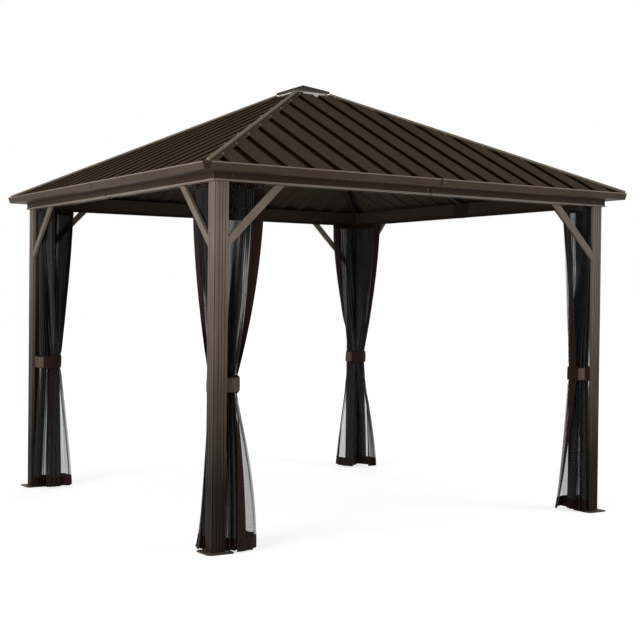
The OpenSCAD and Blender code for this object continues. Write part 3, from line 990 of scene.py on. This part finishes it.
class GAZEBO_OT_tie_curtains(bpy.types.Operator):
    """Ties each bundle of netting with a woven band and its free end"""

    bl_idname = "gazebo.tie_curtains"
    bl_label = "Tie the curtains"

    def execute(self, context):
        # Where the free end of each band lies round the bundle
        ends = {"front_left": (-110, -20), "front_right": (-70, -40), "back_right": (-25, 30),
                "back_left": (132, 196)}
        for number, bundle in enumerate(BUNDLES):
            radius = bundle.waist_r + 3
            inset = 6 * MM
            name = f"{bundle.name}_tie_end"
            mesh = strap_mesh(name, bundle, radius + TIE_THICK + 1, ends[bundle.name],
                              TIE_FOOT + inset, TIE_TOP - inset, 60 + number)
            tie_end = add_piece(name, mesh, ["woven_polyester_tie_end"])
            name = f"{bundle.name}_tie_band"
            mesh = strap_mesh(name, bundle, radius, (0, 360), TIE_FOOT, TIE_TOP, 40 + number)
            band = add_piece(name, mesh, ["woven_polyester_hem"])
            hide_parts("curtain_ties")
        return {"FINISHED"}


class GAZEBO_OT_add_curtain_rings(bpy.types.Operator):
    """Adds the rings that carry the netting and the gliders that run in the track"""

    bl_idname = "gazebo.add_curtain_rings"
    bl_label = "Add the curtain rings"

    def execute(self, context):
        radius = sizes().ring_width / 2
        # The rings hang in the middle of the track, from beside the post to the loose edge
        b = POST_FACE - BEAM_INNER + 7 * MM
        first = POST_LEG / MM + 16
        for bundle in BUNDLES:
            bm = bmesh.new()
            for swapped in (False, True):
                last = bundle.panels[swapped].reach - 8
                for k in range(RING_COUNT):
                    a = mix(first, last, k / (RING_COUNT - 1)) * MM
                    x, y = (POST_FACE - d for d in ((b, a) if swapped else (a, b)))
                    self.add_ring(bm, bundle.sign[0] * x, bundle.sign[1] * y, radius, k)
            name = f"{bundle.name}_curtain_rings"
            add_piece(name, mesh_from(name, bm, True), ["moulded_nylon"])
        return {"FINISHED"}

    def add_ring(self, bm, x, y, radius, number):
        """One ring, turned a little further than the last, under its glider."""
        middle = Matrix.Translation((x, y, TRACK_FOOT - 8 * MM - radius))
        turn = Matrix.Rotation(math.radians(35 * number), 4, "Z")
        spokes, sides = 16, 6
        loops = []
        for k in range(spokes):
            angle = 2 * math.pi * k / spokes
            loop = []
            for j in range(sides):
                round_wire = 2 * math.pi * j / sides
                reach = radius - RING_WIRE + RING_WIRE * math.cos(round_wire)
                point = Vector((reach * math.cos(angle), RING_WIRE * math.sin(round_wire),
                                reach * math.sin(angle)))
                loop.append(bm.verts.new(middle @ turn @ point))
            loops.append(loop)
        for k in range(spokes):
            for j in range(sides):
                n, m = (k + 1) % spokes, (j + 1) % sides
                bm.faces.new([loops[k][j], loops[n][j], loops[n][m], loops[k][m]])
        bmesh.ops.create_cone(
            bm, cap_ends=True, segments=10, radius1=3 * MM, radius2=4.5 * MM, depth=9 * MM,
            matrix=Matrix.Translation((x, y, TRACK_FOOT - 4.5 * MM)))


# ---- operators: studio


# Each lamp's place and what it is aimed at, in metres
LAMPS = {
    "key": ((-9.0, -3.6, 2.7), (0, 0, 1.6)),
    "fill": ((6.3, -7.2, 3.7), (0.4, 0, 1.6)),
    "back": ((4.0, 8.0, 5.5), (0, 0, 1.6)),
}
LAMP_WIDTH = 5.0
FLOOR_RADIUS = 60


class GAZEBO_OT_build_studio(bpy.types.Operator):
    """Builds the pale floor, the soft lamps and the camera"""

    bl_idname = "gazebo.build_studio"
    bl_label = "Build the studio"

    def execute(self, context):
        studio = context.scene.gazebo_studio
        self.add_camera(context.scene, studio)
        for name, (place, target) in LAMPS.items():
            self.add_lamp(f"{name}_lamp", place, target, getattr(studio, f"{name}_power"))
        self.add_floor()
        self.set_world(context.scene, studio.sky)
        context.scene.view_settings.view_transform = "Standard"
        return {"FINISHED"}

    def add_camera(self, scene, studio):
        """The camera that the scene is seen through."""
        camera = bpy.data.objects.new("camera", bpy.data.cameras.new("camera"))
        scene.collection.objects.link(camera)
        camera.data.sensor_width = 36
        camera.data.lens = studio.lens
        turn = Matrix.Rotation(-studio.camera_turn, 4, "Z")
        rise = Matrix.Rotation(math.radians(90) + studio.camera_rise, 4, "X")
        roll = Matrix.Rotation(studio.camera_roll, 4, "Z")
        camera.matrix_world = Matrix.Translation(studio.camera_place) @ turn @ rise @ roll
        scene.camera = camera

    def add_lamp(self, name, place, target, power):
        """A square lamp aimed at a point."""
        lamp = bpy.data.objects.new(name, bpy.data.lights.new(name, "AREA"))
        bpy.context.scene.collection.objects.link(lamp)
        lamp.data.shape = "SQUARE"
        lamp.data.size = LAMP_WIDTH
        lamp.data.energy = power
        aim = (Vector(target) - Vector(place)).to_track_quat("-Z", "Y")
        lamp.matrix_world = Matrix.Translation(place) @ aim.to_matrix().to_4x4()

    def add_floor(self):
        """A round floor that reaches beyond every view."""
        bm = bmesh.new()
        bmesh.ops.create_circle(bm, cap_ends=True, segments=96, radius=FLOOR_RADIUS)
        floor = bpy.data.objects.new("studio_floor", mesh_from("studio_floor", bm))
        bpy.context.scene.collection.objects.link(floor)
        floor.data.materials.append(self.floor_paint())

    def floor_paint(self):
        """White studio floor, lifted to white for the eye so that only the shadow shows."""
        material = bpy.data.materials.new("studio_floor_paint")
        material.use_nodes = True
        tree = material.node_tree
        tree.nodes.clear()
        seen = self.seen_rays(tree)
        # Full white a few steps away, so that the lamps' falling off doesn't show
        place = add_node(tree, "TexCoord", output="Object")
        away = add_node(tree, "VectorMath", (place,), "Value", operation="LENGTH")
        share = add_node(tree, "MapRange", (away, 3.0, 8.0, 0.74, 0.96))
        paint = add_node(tree, "BsdfDiffuse", {"Color": (0.5, 0.5, 0.5, 1)})
        strength = add_node(tree, "Math", (seen, share), operation="MULTIPLY")
        lift = add_node(tree, "Emission", {"Color": (1, 1, 1, 1), "Strength": strength})
        both = add_node(tree, "AddShader", (paint, lift))
        add_node(tree, "OutputMaterial", {"Surface": both}, None)
        return material

    def seen_rays(self, tree):
        """1 for what the eye sees straight, mirrored or through glass, 0 for light on the object."""
        path = add_node(tree, "LightPath", output=None).outputs
        total = add_node(tree, "Math", (path["Is Camera Ray"], path["Is Glossy Ray"]),
                         operation="ADD")
        return add_node(tree, "Math", (total, path["Is Transmission Ray"]), operation="ADD",
                        use_clamp=True)

    def set_world(self, scene, sky):
        """White for the eye, and an even light from all round for the object."""
        world = bpy.data.worlds.new("studio")
        scene.world = world
        world.use_nodes = True
        tree = world.node_tree
        tree.nodes.clear()
        strength = add_node(tree, "MapRange", (self.seen_rays(tree), 0, 1, sky, 1))
        light = add_node(tree, "Background", {"Color": (1, 1, 1, 1), "Strength": strength})
        add_node(tree, "OutputWorld", {"Surface": light}, None)


OPERATORS = (
    GAZEBO_OT_finish_metal,
    GAZEBO_OT_add_roof_screws,
    GAZEBO_OT_add_seam_screws,
    GAZEBO_OT_hang_curtains,
    GAZEBO_OT_tie_curtains,
    GAZEBO_OT_add_curtain_rings,
    GAZEBO_OT_build_studio,
)


GROUPS = {
    "gazebo_colours": GazeboColours,
    "gazebo_sizes": GazeboSizes,
    "gazebo_studio": GazeboStudio,
}


class GAZEBO_PT_panel(bpy.types.Panel):
    """Lists the steps that finish the gazebo, and their colours and sizes"""

    bl_idname = "GAZEBO_PT_panel"
    bl_label = "Gazebo"
    bl_space_type = "VIEW_3D"
    bl_region_type = "UI"
    bl_category = "Gazebo"

    def draw(self, context):
        column = self.layout.column(align=True)
        for operator in OPERATORS:
            column.operator(operator.bl_idname)
        for holder, group in GROUPS.items():
            box = self.layout.box()
            for name in group.__annotations__:
                box.prop(getattr(context.scene, holder), name)


def register():
    """Makes the groups, operators and panel known."""
    for group in GROUPS.values():
        bpy.utils.register_class(group)
    for name, group in GROUPS.items():
        setattr(bpy.types.Scene, name, bpy.props.PointerProperty(type=group))
    for operator in OPERATORS:
        bpy.utils.register_class(operator)
    bpy.utils.register_class(GAZEBO_PT_panel)


def unregister():
    """Takes back what register did."""
    bpy.utils.unregister_class(GAZEBO_PT_panel)
    for operator in reversed(OPERATORS):
        bpy.utils.unregister_class(operator)
    for name in GROUPS:
        delattr(bpy.types.Scene, name)
    for group in reversed(GROUPS.values()):
        bpy.utils.unregister_class(group)


def main():
    """Finishes the gazebo step by step."""
    register()
    bpy.ops.gazebo.finish_metal()
    bpy.ops.gazebo.add_roof_screws()
    bpy.ops.gazebo.add_seam_screws()
    bpy.ops.gazebo.hang_curtains()
    bpy.ops.gazebo.tie_curtains()
    bpy.ops.gazebo.add_curtain_rings()
    bpy.ops.gazebo.build_studio()


if __name__ == "__main__":
    main()
